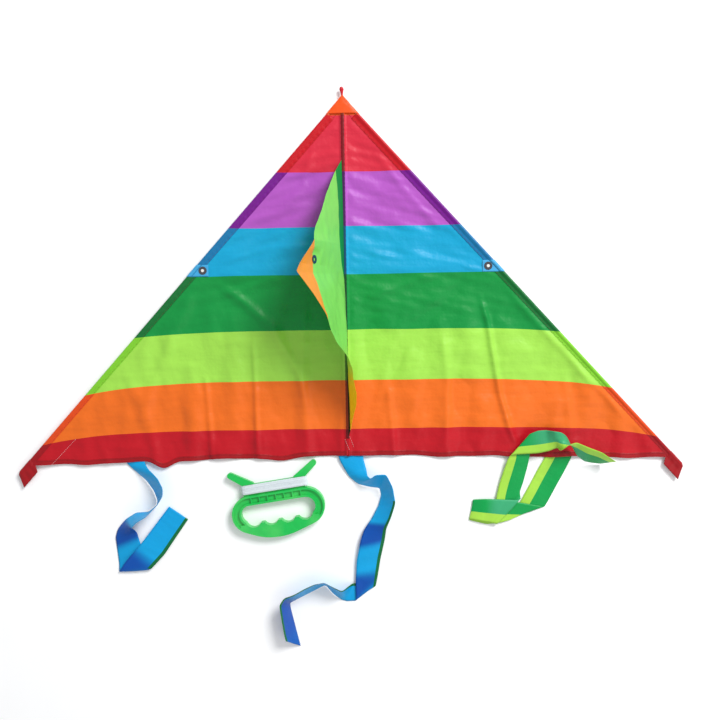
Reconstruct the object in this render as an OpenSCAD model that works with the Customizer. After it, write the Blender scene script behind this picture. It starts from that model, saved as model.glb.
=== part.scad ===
// Delta kite lying face up: nose towards +Y, keel up (+Z), floor at z = 0.
// Places along the kite are given as a distance aft of the nose point, d, so y = nose_y - d.

/* [Sail] */
// Wingspan, tip corner to tip corner
wingspan = 1000; // [800:10:1250]
// Nose point to the trailing edge at the spine
spine_length = 530; // [440:5:640]
// How far the wingtips lie aft of the trailing edge at the spine
tip_sweep = 24; // [15:1:40]
// Rise of the trailing edge aft, for each mm out from the spine
hem_slope = 0.02; // [0.01:0.005:0.03]
// Thickness of a single cloth layer as a solid
cloth = 0.4; // [0.3:0.05:0.5]
// Width of the leading-edge sleeves, edge to seam
sleeve_width = 8; // [6.5:0.5:8]
// Length of the wingtip pockets
pocket_length = 36; // [30:1:46]
// Width of the wingtip pockets
pocket_width = 20; // [14:1:26]
// Length of the nose patch along the spine
nose_length = 17.5; // [14:0.5:20]

/* [Frame rods] */
// Diameter of the fibreglass rods
rod_d = 3; // [2.4:0.1:3.4]
// Wall of the sleeves around the rods
sleeve_wall = 0.65; // [0.5:0.05:0.8]
// Wall of the vinyl rod caps
cap_wall = 0.6; // [0.4:0.05:0.8]
// Length of the vinyl rod caps
cap_length = 12; // [8:1:16]

/* [Spreader and eyelets] */
// Distance of the wing eyelets from the nose, along the leading edge
eyelet_reach = 328; // [260:1:400]
// Distance of the wing eyelets in from the leading edge
eyelet_inset = 12; // [12:0.5:16]
// Hole diameter of every eyelet
eyelet_hole = 5; // [4:0.1:6]
// Flange diameter of every eyelet
eyelet_flange = 12; // [10:0.5:12]
// Wall of an eyelet's barrel
eyelet_wall = 1; // [0.8:0.1:1.2]
// Thickness of an eyelet's flange and of its back washer
flange_t = 0.8; // [0.6:0.05:1]
// Clearance of the spreader's pegs in the eyelets, on radius
peg_clearance = 0.3; // [0.2:0.05:0.5]
// Wall of the fittings on the spreader's ends
fitting_wall = 1.1; // [0.8:0.1:1.4]
// Length of the fittings on the spreader's ends
fitting_length = 20; // [14:1:30]

/* [Keel] */
// Front end of the keel's seam, aft of the nose
keel_front = 93; // [80:1:140]
// Rear end of the keel's seam, aft of the nose
keel_rear = 502; // [420:1:520]
// Depth of the keel from the spine to its point
keel_depth = 144; // [110:1:180]
// Place of the keel's point, aft of the nose
keel_point = 260; // [220:1:320]
// Place of the tow eyelet, aft of the nose
tow_place = 243; // [225:1:270]
// Height of the tow eyelet above the spine, in the keel's own plane
tow_height = 94; // [70:1:104]
// Lean of the keel to the left as it lies
keel_lean = 25; // [10:1:30]

/* [Winder] */
// Length of line pack between the horns
pack_length = 101; // [80:1:120]
// Width of the wound line along the horns
pack_width = 15; // [10:1:20]
// Thickness of the wound line over both faces
pack_depth = 11.2; // [9:0.1:13]
// Thickness of the winder's grip ring
grip_t = 14; // [12:1:18]
// Width of the ring's sides
ring_w = 14; // [10:1:18]
// Thickness of the neck that the line is wound on
neck_t = 4.6; // [3:0.1:6]
// Thickness of the horns
horn_t = 7; // [5:0.5:9]
// Turn of the winder as it lies
winder_turn = 8.5; // [0:0.5:15]

/* [Hidden] */

$fn = 48;
hair = 0.1; // gap between pieces of one body
joint_gap = 0.3; // gap between pieces that move against each other

// Heights, from the floor up
rod_r = rod_d / 2;
fitting_r = rod_r + fitting_wall;
spreader_z = fitting_r;
washer_z = 2 * fitting_r + joint_gap + hair;
tab_z = washer_z + flange_t + hair;
sleeve_flange_t = 2 * cloth;
tab_t = 3 * cloth;
plane_z = tab_z + tab_t / 2; // the sail's mid plane, which is also the fold axis
bore_r = rod_r + 0.15; // inside of a sleeve
sleeve_r = bore_r + sleeve_wall;
cap_r = rod_r + cap_wall;
barrel_r = eyelet_hole / 2 + eyelet_wall;
eyelet_top = tab_z + tab_t + hair + flange_t;
peg_r = eyelet_hole / 2 - peg_clearance;
peg_top = eyelet_top + 0.9;

// Places in plan
nose_bud = 14;
tail_reach = spine_length + 292; // the centre tail's end, aft of the nose
nose_y = (tail_reach - nose_bud) / 2;
half_span = wingspan / 2;
tip_d = spine_length + tip_sweep;
edge_length = sqrt(half_span * half_span + tip_d * tip_d);
edge_angle = atan2(half_span, tip_d); // leading edge to spine
sin_e = sin(edge_angle);
cos_e = cos(edge_angle);
inner_x = sleeve_r + joint_gap; // inner edge of each wing
wing_front = nose_length + joint_gap + 0.8;
sleeve_start = wing_front / cos_e;
sleeve_end = edge_length - 30;
pocket_end = sleeve_end + pocket_length;
spar_end = pocket_end - 18;
seam = sleeve_width + hair; // where the sail meets the sleeve

// A point s along the leading edge and w in from it, as [x, d] on the right wing
function edge_xd(s, w) = [sin_e * s - cos_e * w, cos_e * s + sin_e * w];
// Where a line w in from the leading edge reaches a given d, or the hem, as a length s
function s_at_d(w, d) = (d - sin_e * w) / cos_e;
function s_at_hem(w) =
    (spine_length - hem_slope * cos_e * w - sin_e * w) / (cos_e - hem_slope * sin_e);
eyelet_xd = edge_xd(eyelet_reach, eyelet_inset);

// ---- tails: cross-sections as pairs of edge points [x, h, z, x, h, z],
// h being the distance aft of the trailing edge at the spine ----
tail_t = 0.6;
left_tail_run = [
    [-334, 8, 2, -306, 7, 16], [-320, 22, 2, -294, 18, 24], [-305, 34, 2, -281, 28, 27],
    [-294, 50, 2, -274, 41, 30], [-289, 64, 2, -274, 53, 32], [-290, 72, 2, -280, 64, 35],
    [-303, 82, 2, -297, 82, 36], [-322, 83, 2, -313, 91, 34], [-338, 93, 2, -322, 101, 28],
    [-350, 107, 2, -322, 104, 20], [-354, 120, 2, -320, 112, 8], [-352, 142, 1, -316, 130, 3],
    [-350, 162, 1, -313, 154, 3], [-350, 174, 2, -308, 172, 3], [-349, 172, 6, -305, 170, 6],
    [-338, 156, 7, -300, 168, 6], [-313, 128, 6, -280, 147, 4], [-292, 101, 4, -262, 121, 3],
    [-271, 74, 3, -243, 94, 2]];
centre_tail_run = [
    [-15, 2, 6, 22, 2, 6], [-8, 17, 4, 27, 22, 8], [1, 33, 2, 28, 29, 17],
    [14, 44, 2, 33, 32, 25], [30, 48, 2, 40, 26, 28], [46, 50, 3, 56, 26, 27],
    [48, 60, 3, 66, 46, 26], [44, 76, 3, 69, 68, 26], [34, 95, 4, 62, 92, 22],
    [22, 112, 6, 55, 110, 12], [16, 129, 8, 53, 126, 5], [10, 160, 6, 46, 156, 4],
    [8, 192, 5, 41, 184, 4], [8, 220, 4, 38, 199, 4], [8, 221.5, 1, 37, 201, 1],
    [-6, 222, 1, 4, 194, 2], [-14, 220, 1, -12, 199, 27], [-26, 211, 1, -26, 192, 30],
    [-38, 197, 1, -38, 184, 33], [-52, 204, 1, -52, 187, 31], [-70, 213, 1, -68, 195, 30],
    [-84, 220, 1, -84, 203, 30], [-92, 224, 1, -98, 208, 29], [-91, 232, 1, -105, 219, 28],
    [-87, 249, 1, -102, 244, 30], [-82, 270, 1, -99, 262, 28], [-77, 291, 1, -97, 275, 24]];
right_tail_run = [
    [332, 8, 5, 293, 8, 5], [322, 28, 3, 286, 19, 3], [312, 46, 2, 280, 30, 2],
    [298, 72, 1.5, 266, 56, 1.5], [292, 82, 1.5, 240, 102, 1.5], [291, 81, 3.6, 239, 101, 3.6],
    [242, 72, 3.4, 226, 104.5, 3.4], [212, 72, 2.5, 206, 107, 2], [184, 70, 1.5, 178, 100, 1.5],
    [186, 69, 4, 180, 98, 4], [205, 68, 6.4, 200, 102, 6.2], [256, 70, 6.8, 222, 106, 6.8],
    [256, 67, 5, 220, 100, 5], [255, 58, 5, 219, 72, 5], [260, 44, 5, 224, 48, 5],
    [266, 22, 6, 231, 26, 6], [270, 1, 9.5, 236, 11, 9.5], [268, -27, 11, 240, 3, 10],
    [268, -30, 17, 241, 1, 14], [280, -35, 19, 282, -1, 14], [292, -36, 21, 298, -4, 14],
    [303, -35, 31, 310, -9, 14], [313.5, -33, 25, 311.5, -5, 20],
    [323, -26, 15, 314, -8, 32], [331, -10, 13, 323, -17, 38], [338, 3, 12, 334, -19, 32],
    [350, 13, 8, 353, -10, 32], [362, 16, 4, 372, -3, 30], [376, 18, 2, 392, 11, 28]];

// ---- winder, in its own frame: u along the pack, v towards the horns ----
winder_place = [-111, spine_length + 43.5]; // x and d of the pack's middle
neck_half = pack_length / 2 - 2.3;
ring_top = -pack_width / 2 - 1.5;
ring_r = 28;
ring_u = 42;
ring_v = ring_top - ring_r;
belly_v = ring_v - 11;
belly_r = ring_r;
belly_spread = 1.9; // the belly's width over its height
hole_r = ring_r - ring_w;
horn_tip = [63, 25];
horn_tip_r = 4.5;
finger_pitch = 26;
finger_r = 12;
finger_drop = 8;
channel_rim = 3;
channel_depth = 3.5;
rib_t = 1.6;
rib_places = [-37.5:12.5:37.5];

// ---- helpers ----
module at_nose() { translate([0, nose_y, 0]) children(); }
// Local +Y runs down the leading edge, local +X points in towards the spine
module right_edge() {
    at_nose() rotate([0, 0, edge_angle]) mirror([0, 1, 0]) mirror([1, 0, 0])
        translate([0, 0, plane_z]) children();
}
module wing(side) { mirror([side == "left" ? 1 : 0, 0, 0]) children(); }
module along_y(from, to) {
    translate([0, from, 0]) rotate([-90, 0, 0]) mirror([0, 1, 0])
        linear_extrude(to - from) children();
}
module rod_y(r, from, to) { along_y(from, to) circle(r); }
module slot(half_u, half_z) {
    square([2 * (half_u - half_z), 2 * half_z], center = true);
    for (side = [-1, 1]) translate([side * (half_u - half_z), 0]) circle(half_z);
}

function unit(v) = v / norm(v);
function edge_a(p) = [p[0], nose_y - spine_length - p[1], p[2]];
function edge_b(p) = [p[3], nose_y - spine_length - p[4], p[5]];
function middle(p) = (edge_a(p) + edge_b(p)) / 2;
function across(section) = edge_b(section) - edge_a(section);
// The ribbon's normal between two sections, and at a section the middle of its two neighbours'
function panel_normal(run, i) = let (k = max(0, min(i, len(run) - 2)))
    unit(cross(across(run[k]) + across(run[k + 1]), middle(run[k + 1]) - middle(run[k])));
function face_normal(run, i) = unit(panel_normal(run, i - 1) + panel_normal(run, i));
// A ribbon as one closed solid through its cross-sections
module ribbon(run, t) {
    last = len(run) - 1;
    corners = [for (i = [0:last]) let (n = face_normal(run, i) * t / 2)
        each [edge_a(run[i]) + n, edge_b(run[i]) + n, edge_b(run[i]) - n, edge_a(run[i]) - n]];
    sides = [for (i = [0:last - 1]) for (j = [0:3])
        let (a = 4 * i + j, b = 4 * i + (j + 1) % 4)
        // both faces split along the same diagonal, so that a twist keeps its thickness
        each (j == 2 ? [[a, b, a + 4], [b, b + 4, a + 4]] : [[a, b, b + 4], [a, b + 4, a + 4]])];
    end = 4 * last;
    polyhedron(corners, concat(sides, [[3, 2, 1], [3, 1, 0],
        [end, end + 1, end + 2], [end, end + 2, end + 3]]));
}

// ---- spine ----
module spine_rod() {
    color("wheat") at_nose() translate([0, 0, plane_z]) mirror([0, 1, 0])
        rod_y(rod_r, 4, spine_length - 1);
}
module spine_sleeve() {
    color("crimson") at_nose() translate([0, 0, plane_z]) mirror([0, 1, 0])
        along_y(nose_length + joint_gap, spine_length - 7)
        difference() { circle(sleeve_r); circle(bore_r); }
}
module spine_rear_cap() {
    color("black") at_nose() translate([0, 0, plane_z]) mirror([0, 1, 0]) difference() {
        rod_y(cap_r, spine_length - 7 + hair, spine_length + 1);
        rod_y(rod_r, spine_length - 8, spine_length - 1);
    }
}
module nose_patch() {
    half = nose_length * tan(edge_angle);
    color("orange") at_nose() translate([0, 0, plane_z]) mirror([0, 1, 0]) difference() {
        translate([0, 0, -sleeve_r]) linear_extrude(2 * sleeve_r)
            polygon([[-1, 0], [1, 0], [half, nose_length], [-half, nose_length]]);
        rod_y(bore_r, 3, nose_length + 1);
    }
}
module nose_tip() {
    color("red") at_nose() translate([0, 0, plane_z]) hull() {
        translate([0, nose_bud - 2.6, 0]) sphere(2.6, $fn = 24);
        translate([0, 6, 0]) sphere(2.3, $fn = 24);
        translate([0, 1.2 + hair, 0]) sphere(1.2, $fn = 24);
    }
}

// ---- wings ----
module sail(side) {
    s_hem = s_at_hem(seam);
    front = edge_xd(s_at_d(seam, wing_front), seam);
    rear = edge_xd(s_hem, seam);
    color("tomato") wing(side) difference() {
        at_nose() mirror([0, 1, 0]) translate([0, 0, plane_z - cloth / 2])
            linear_extrude(cloth) polygon([[inner_x, wing_front], front, rear,
                [inner_x, spine_length + hem_slope * inner_x]]);
        right_edge() translate([0, eyelet_reach, 0])
            tab_block(hair, 4);
    }
}
tab_inner = 20; // inner end of the tab, in from the leading edge
tab_half = 9;
module tab_block(grow, t) {
    translate([sleeve_width, -tab_half - grow, -t / 2])
        cube([tab_inner + grow - sleeve_width, 2 * (tab_half + grow), t]);
}
module leading_spar(side) {
    color("wheat") wing(side) right_edge() translate([sleeve_r, 0, 0])
        rod_y(rod_r, sleeve_start + 0.5, spar_end);
}
module leading_sleeve(side) {
    color("firebrick") wing(side) right_edge() along_y(sleeve_start, sleeve_end)
        difference() {
            union() {
                translate([sleeve_r, 0]) circle(sleeve_r);
                translate([sleeve_r, -sleeve_flange_t / 2])
                    square([sleeve_width - sleeve_r, sleeve_flange_t]);
            }
            translate([sleeve_r, 0]) circle(bore_r);
        }
}
module spar_cap(side) {
    color("black") wing(side) right_edge() translate([sleeve_r, 0, 0]) difference() {
        rod_y(cap_r, spar_end - cap_length + 3, spar_end + 3);
        rod_y(rod_r, spar_end - cap_length, spar_end);
    }
}
module tip_pocket(side) {
    front = sleeve_end + hair;
    hem_gap = 2 * hair;
    color("darkred") wing(side) right_edge() difference() {
        union() {
            translate([sleeve_r, 0, 0]) rod_y(cap_r + sleeve_wall, front, pocket_end);
            // the flap, its front edge along the sail's hem
            translate([0, 0, -cloth]) linear_extrude(2 * cloth) polygon([[sleeve_r, front],
                [sleeve_width, front], [sleeve_width, s_at_hem(sleeve_width) + hem_gap],
                [pocket_width, s_at_hem(pocket_width) + hem_gap],
                [pocket_width, pocket_end], [sleeve_r, pocket_end]]);
        }
        translate([sleeve_r, 0, 0]) rod_y(cap_r + 0.05, front - 1, spar_end + 3.1);
    }
}
module wing_tab(side) {
    color("lightskyblue") wing(side) right_edge() translate([0, eyelet_reach, 0]) difference() {
        translate([hair, 0, 0]) tab_block(0, tab_t);
        translate([eyelet_inset, 0, -tab_t]) cylinder(r = barrel_r + hair / 2, h = 2 * tab_t);
    }
}
// A rolled eyelet about +Z: barrel and top flange, its plate's top face at z = 0
module eyelet(plate_t) {
    difference() {
        union() {
            translate([0, 0, hair]) cylinder(d = eyelet_flange, h = flange_t);
            translate([0, 0, -plate_t - hair - flange_t])
                cylinder(r = barrel_r, h = plate_t + flange_t + 2 * hair + flange_t / 2);
        }
        translate([0, 0, -plate_t - 3]) cylinder(d = eyelet_hole, h = plate_t + 6);
    }
}
module washer(plate_t) {
    translate([0, 0, -plate_t - hair - flange_t]) difference() {
        cylinder(d = eyelet_flange, h = flange_t);
        translate([0, 0, -1]) cylinder(r = barrel_r + hair / 2, h = 3);
    }
}
module at_wing_eyelet(side) {
    wing(side) at_nose() translate([eyelet_xd[0], -eyelet_xd[1], plane_z + tab_t / 2]) children();
}
module wing_eyelet(side) { color("silver") at_wing_eyelet(side) eyelet(tab_t); }
module eyelet_washer(side) { color("silver") at_wing_eyelet(side) washer(tab_t); }

// ---- keel ----
keel_base = inner_x + 1.7;
// Local X runs towards the nose, local Y up the keel's plane, local Z out of its right face
module keel_plane() {
    at_nose() translate([0, 0, plane_z]) rotate([0, -keel_lean, 0]) rotate([90, 0, 90])
        children();
}
module at_tow() { keel_plane() translate([-tow_place, tow_height, cloth / 2]) children(); }
module keel_panel() {
    color("yellowgreen") difference() {
        keel_plane() translate([0, 0, -cloth / 2]) linear_extrude(cloth)
            polygon([[-keel_front, keel_base], [-keel_rear, keel_base], [-keel_point, keel_depth]]);
        at_tow() translate([0, 0, -2]) cylinder(r = barrel_r + hair / 2, h = 4);
    }
}
module tow_eyelet() { color("silver") at_tow() eyelet(cloth); }
module tow_washer() { color("silver") at_tow() washer(cloth); }

// ---- spreader ----
socket_front = eyelet_xd[0] + peg_r + 1.7;
module spreader_rod() {
    half = eyelet_xd[0] - peg_r - 1;
    color("wheat") at_nose() translate([-half, -eyelet_xd[1], spreader_z]) rotate([0, 90, 0])
        cylinder(r = rod_r, h = 2 * half);
}
module spreader_fitting(side) {
    color("dimgray") wing(side) at_nose() translate([0, -eyelet_xd[1], spreader_z]) difference() {
        union() {
            translate([socket_front - fitting_length, 0, 0]) rotate([0, 90, 0])
                cylinder(r = fitting_r, h = fitting_length);
            translate([eyelet_xd[0], 0, 0]) cylinder(r = peg_r, h = peg_top - spreader_z);
        }
        translate([socket_front - fitting_length - 1, 0, 0]) rotate([0, 90, 0])
            cylinder(r = rod_r + 0.03, h = fitting_length - 1.7 - 2 * peg_r);
    }
}

// ---- tails ----
module left_tail() { color("deepskyblue") ribbon(left_tail_run, tail_t); }
module centre_tail() { color("dodgerblue") ribbon(centre_tail_run, tail_t); }
module right_tail() { color("limegreen") ribbon(right_tail_run, tail_t); }

// ---- winder ----
module at_winder() {
    translate([winder_place[0], nose_y - winder_place[1], grip_t / 2])
        rotate([0, 0, winder_turn]) children();
}
module ring_outline(inset = 0) {
    hull() {
        for (side = [-1, 1]) translate([side * ring_u, ring_v]) circle(ring_r - inset);
        translate([-4, belly_v]) scale([belly_spread, 1]) circle(belly_r - inset);
    }
}
// The finger hole: a stadium with a scallop for each finger along its lower side
module hole_outline(grow = 0) {
    translate([0, ring_v]) {
        square([2 * ring_u, 2 * (hole_r + grow)], center = true);
        for (side = [-1, 1]) translate([side * ring_u, 0]) circle(hole_r + grow);
        for (i = [-1.5:1:1.5]) translate([i * finger_pitch, -finger_drop])
            circle(finger_r + grow);
    }
}
module horns_2d() {
    for (side = [-1, 1]) hull() {
        translate([side * (neck_half - 9), pack_width / 2 + 1]) square([18, 2], center = true);
        translate([side * horn_tip[0], horn_tip[1]]) circle(horn_tip_r);
    }
}
module channel_2d() {
    difference() {
        ring_outline(channel_rim);
        hole_outline(channel_rim);
        for (u = rib_places) translate([u - rib_t / 2, ring_v]) square([rib_t, ring_r]);
        translate([-60, ring_v - 60]) square([120, 46]);
    }
}
module winder_handle() {
    color("lime") at_winder() {
        difference() {
            translate([0, 0, -grip_t / 2]) linear_extrude(grip_t)
                difference() { ring_outline(); hole_outline(); }
            for (z = [grip_t / 2 - channel_depth, -grip_t / 2 - 1])
                translate([0, 0, z]) linear_extrude(channel_depth + 1) channel_2d();
        }
        translate([-neck_half, ring_top - 2, -neck_t / 2])
            cube([2 * neck_half, pack_width + 4, neck_t]);
        translate([0, 0, -horn_t / 2]) linear_extrude(horn_t) horns_2d();
    }
}
module flying_line() {
    color("white") at_winder() along_y(-pack_width / 2, pack_width / 2) difference() {
        slot(pack_length / 2, pack_depth / 2);
        square([2 * (neck_half + hair), neck_t + 2 * hair], center = true);
    }
}

spine_rod();
spine_sleeve();
spine_rear_cap();
nose_patch();
nose_tip();
sail("left");  // left_sail
leading_spar("left");  // left_leading_spar
leading_sleeve("left");  // left_leading_sleeve
spar_cap("left");  // left_spar_cap
tip_pocket("left");  // left_tip_pocket
wing_tab("left");  // left_wing_tab
wing_eyelet("left");  // left_wing_eyelet
eyelet_washer("left");  // left_eyelet_washer
sail("right");  // right_sail
leading_spar("right");  // right_leading_spar
leading_sleeve("right");  // right_leading_sleeve
spar_cap("right");  // right_spar_cap
tip_pocket("right");  // right_tip_pocket
wing_tab("right");  // right_wing_tab
wing_eyelet("right");  // right_wing_eyelet
eyelet_washer("right");  // right_eyelet_washer
keel_panel();
tow_eyelet();
tow_washer();
spreader_rod();
spreader_fitting("left");  // left_spreader_fitting
spreader_fitting("right");  // right_spreader_fitting
left_tail();
centre_tail();
right_tail();
winder_handle();
flying_line();
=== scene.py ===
# Delta kite lying face up, its line winder beside it.
# Shapes are worked out in mm as (x, d, z): x to the right wingtip, d aft of the nose, z up.
import bpy
import math
import numpy as np
from mathutils import Euler, Matrix, Vector


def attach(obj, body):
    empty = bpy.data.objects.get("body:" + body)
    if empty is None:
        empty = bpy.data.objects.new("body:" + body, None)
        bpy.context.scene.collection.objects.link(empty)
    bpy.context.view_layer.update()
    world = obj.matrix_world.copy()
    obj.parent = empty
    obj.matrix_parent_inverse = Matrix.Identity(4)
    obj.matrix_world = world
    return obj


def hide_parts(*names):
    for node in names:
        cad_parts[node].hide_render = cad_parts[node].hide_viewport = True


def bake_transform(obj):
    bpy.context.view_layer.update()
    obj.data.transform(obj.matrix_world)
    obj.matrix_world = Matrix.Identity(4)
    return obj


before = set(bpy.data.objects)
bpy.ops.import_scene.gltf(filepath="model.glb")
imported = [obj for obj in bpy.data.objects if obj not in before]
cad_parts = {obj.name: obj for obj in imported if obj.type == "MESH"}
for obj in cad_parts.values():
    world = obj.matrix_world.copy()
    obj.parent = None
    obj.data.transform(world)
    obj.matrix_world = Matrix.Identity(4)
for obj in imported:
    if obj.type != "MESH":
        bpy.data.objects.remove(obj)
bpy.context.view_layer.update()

# The kite's own sizes
kite = {
    "noseY": 0.404,        # where the nose point lies, m
    "halfSpan": 500.0,     # to a wingtip corner
    "tipD": 554.0,         # that corner, aft of the nose
    "spineLength": 530.0,
    "hemSlope": 0.02,
    "hemLobes": [(-277, 9, 15), (-95, 4, 26)],   # where each droops, how far, how wide
    "planeZ": 7.1,         # fold axis and sail plane
    "tubeR": 2.3,          # sleeve around a rod
    "eyeletD": 251.5,      # eyelets and spreader, aft of the nose
    "eyeletX": 210.9,
}
edgeLen = math.hypot(kite["halfSpan"], kite["tipD"])
sinE, cosE = kite["halfSpan"] / edgeLen, kite["tipD"] / edgeLen
rng = np.random.default_rng(11)


# Small maths
def toMetres(p):
    # (x, d, z) in mm to the row frame in metres: y is the nose's y less d
    p = np.asarray(p, float)
    return np.stack([p[..., 0] * 1e-3, kite["noseY"] - p[..., 1] * 1e-3, p[..., 2] * 1e-3], -1)


def smooth(t):
    # smoothstep: 3 t squared less 2 t cubed, with t held between 0 and 1
    t = np.clip(t, 0, 1)
    return t * t * (3 - 2 * t)


def edgePoint(s, w, side):
    # a place s along the leading edge and w in from it:
    # s times the edge's direction plus w times its inward normal
    return side * (sinE * s - cosE * w), cosE * s + sinE * w


def edgeInset(x, d):
    # distance in from the leading edge: the dot product with the edge's inward normal
    return sinE * d - cosE * np.abs(x)


def hemD(x):
    # the trailing edge: the spine's length plus the slope times the distance out,
    # with a slow wave of about 1 mm and drooping lobes
    away = smooth((np.abs(x) - 20) / 40)
    wave = np.sin(x / 21.0 + 1.0) + 0.5 * np.sin(x / 9.3)
    lobes = sum(drop * np.exp(-((x - at) / spread) ** 2) for at, drop, spread in kite["hemLobes"])
    return kite["spineLength"] + kite["hemSlope"] * np.abs(x) + away * wave + lobes


def waves(x, d, seed, wavelength, count=7):
    # sum of cosines in random directions about one wavelength, divided by the root of their number
    r = np.random.default_rng(seed)
    angle, phase = r.uniform(0, math.pi, count), r.uniform(0, 2 * math.pi, count)
    size = wavelength * r.uniform(0.7, 1.4, count)
    total = 0
    for a, f, l in zip(angle, phase, size):
        total = total + np.cos((x * math.cos(a) + d * math.sin(a)) * 2 * math.pi / l + f)
    return total / math.sqrt(count)


def ridge(x, d, path, height, width):
    # a crease along a polyline: height times exp(-(distance / width) squared), fading at both ends
    best, along = np.full(np.shape(x), 1e9), np.zeros(np.shape(x))
    lengths = [math.hypot(b[0] - a[0], b[1] - a[1]) for a, b in zip(path[:-1], path[1:])]
    total, run = sum(lengths), 0.0
    for (ax, ad), (bx, bd), length in zip(path[:-1], path[1:], lengths):
        t = np.clip(((x - ax) * (bx - ax) + (d - ad) * (bd - ad)) / length ** 2, 0, 1)
        gap = np.hypot(x - ax - t * (bx - ax), d - ad - t * (bd - ad))
        closer = gap < best
        best = np.where(closer, gap, best)
        along = np.where(closer, (run + t * length) / total, along)
        run += length
    end = 0.18   # share of the path that each end takes to fade
    fade = smooth(along / end) * smooth((1 - along) / end)
    return height * np.exp(-(best / width) ** 2) * fade


# The sail's shape
sail = {
    "columns": 200, "rows": 200,
    "film": 0.15,
    "sag": 3.2,            # how far the cloth hangs between its rods
    "spineRise": 2.65,     # over the spine's sleeve
    "lowest": 1.6,         # nowhere nearer the floor than this
    "creaseRise": 1.15, "creaseSpread": 0.8,   # times every crease's height and width
    "ripples": [(1.5, 0.6, 3, 80), (0.5, 1.0, 4, 38), (0.12, 1.0, 5, 15)],   # height, stretch, seed, length
    "creases": [           # path in (x, d), height, width
        ([(-205, 262), (-160, 292), (-113, 333), (-70, 409), (-60, 470)], 3.4, 9.0),
        ([(-139, 343), (-137, 430), (-135, 540)], 2.4, 4.5),
        ([(-212, 400), (-207, 470), (-203, 545)], 2.2, 5.0),
        ([(-60, 300), (-66, 400), (-58, 545)], 1.6, 9.0),
        ([(-330, 400), (-300, 470), (-285, 545)], 1.8, 10.0),
        ([(-215, 255), (-250, 330), (-290, 420), (-330, 540)], 2.2, 12.0),
        ([(-200, 250), (-130, 225), (-40, 215)], 1.5, 8.0),
        ([(-200, 256), (-120, 262), (-20, 285)], 1.6, 7.0),
        ([(-40, 60), (-60, 130), (-110, 190)], 1.2, 8.0),
        ([(196, 287), (209, 331), (217, 383), (227, 443), (241, 495), (256, 530)], 3.6, 5.5),
        ([(184, 265), (150, 300), (110, 337), (79, 374), (60, 440)], -2.6, 11.0),
        ([(228, 273), (294, 347), (360, 420), (433, 498)], 3.0, 8.0),
        ([(205, 256), (120, 240), (30, 232)], 1.8, 7.0),
        ([(205, 252), (110, 268), (20, 300)], 1.7, 7.0),
        ([(40, 70), (90, 140), (150, 205)], 1.3, 8.0),
        ([(140, 330), (150, 420), (146, 540)], 2.0, 8.0),
        ([(320, 400), (330, 470), (334, 540)], 1.8, 9.0),
        ([(60, 420), (66, 480), (70, 545)], 1.8, 7.0),
    ],
}


def sailHeight(x, d):
    # the plane, less the sag between the rods, plus creases, ripples and a wavy hem,
    # lifted over the spine and the spreader
    ax, inset = np.abs(x), edgeInset(x, d)
    wing = 0 if np.mean(x) > 0 else 1
    between = smooth((inset - 4) / 45) * smooth(ax / 45)
    z = kite["planeZ"] - sail["sag"] * between
    clear = smooth((inset - 6) / 20) * smooth((ax - 4) / 12)
    for path, height, width in sail["creases"]:
        z = z + ridge(x, d, path, sail["creaseRise"] * height, sail["creaseSpread"] * width) * clear
    ripples = [height * waves(x, d * stretch, seed, size) for height, stretch, seed, size in sail["ripples"]]
    z = z + between * sum(ripples)
    # drag lines: waves squeezed along lines that run outwards and slowly aft in front, and straight aft behind
    front = 1 - smooth((d - 250) / 110)
    near = smooth((inset - 10) / 12) * smooth((ax - 4) / 10)
    outward = (0.46 * waves(d - 0.3 * ax, ax * 0.1, 12 if wing else 11, 15)
               + 0.5 * waves(d - 0.45 * ax, ax * 0.16, 13, 27))
    aft = 1.4 * waves(ax, d * 0.1, 15 if wing else 14, 38) + 0.2 * waves(ax + 0.3 * d, d * 0.15, 16, 16)
    z = z + near * front * outward
    z = z + near * (1 - front) * aft
    # the hem's own waves: height times exp(-distance from the hem / 34)
    loose = smooth(ax / 30) * smooth((inset - 8) / 30)
    z = z + 1.5 * np.exp(-np.maximum(hemD(x) - d, 0) / 34) * waves(x, d * 0.15, 8, 62, 5) * loose
    # held up where the side tails are sewn on
    sewn = np.exp(-((ax - 319) / 28) ** 4) * smooth((d - 500) / 18)
    z = z * (1 - sewn) + np.maximum(z, 5.6) * sewn
    bar = np.exp(-((d - kite["eyeletD"]) / 14) ** 2) * smooth((kite["eyeletX"] + 12 - ax) / 10)
    z = np.maximum(z, 2.2) * (1 - bar) + np.maximum(z, 6.3) * bar
    return np.maximum(z + sail["spineRise"] * np.exp(-(ax / 3.6) ** 4), sail["lowest"])


# Mesh making
def colour(hexCode, alpha=1.0):
    # sRGB hex to linear: each channel over 12.92 below 0.04045, else ((c + 0.055) / 1.055) to the power 2.4
    c = np.array([int(hexCode[i:i + 2], 16) / 255 for i in (0, 2, 4)])
    lin = np.where(c <= 0.04045, c / 12.92, ((c + 0.055) / 1.055) ** 2.4)
    return (*lin.tolist(), alpha)


def gridFaces(nu, nv, wrapV=False, flip=False):
    # quads between neighbouring rows and columns of a grid of nu by nv points
    i = np.arange(nu - 1)[:, None]
    j = np.arange(nv if wrapV else nv - 1)[None, :]
    a, b = i * nv + j, i * nv + (j + 1) % nv
    quads = np.stack([a, b, b + nv, a + nv], -1).reshape(-1, 4)
    return quads[:, ::-1] if flip else quads


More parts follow.
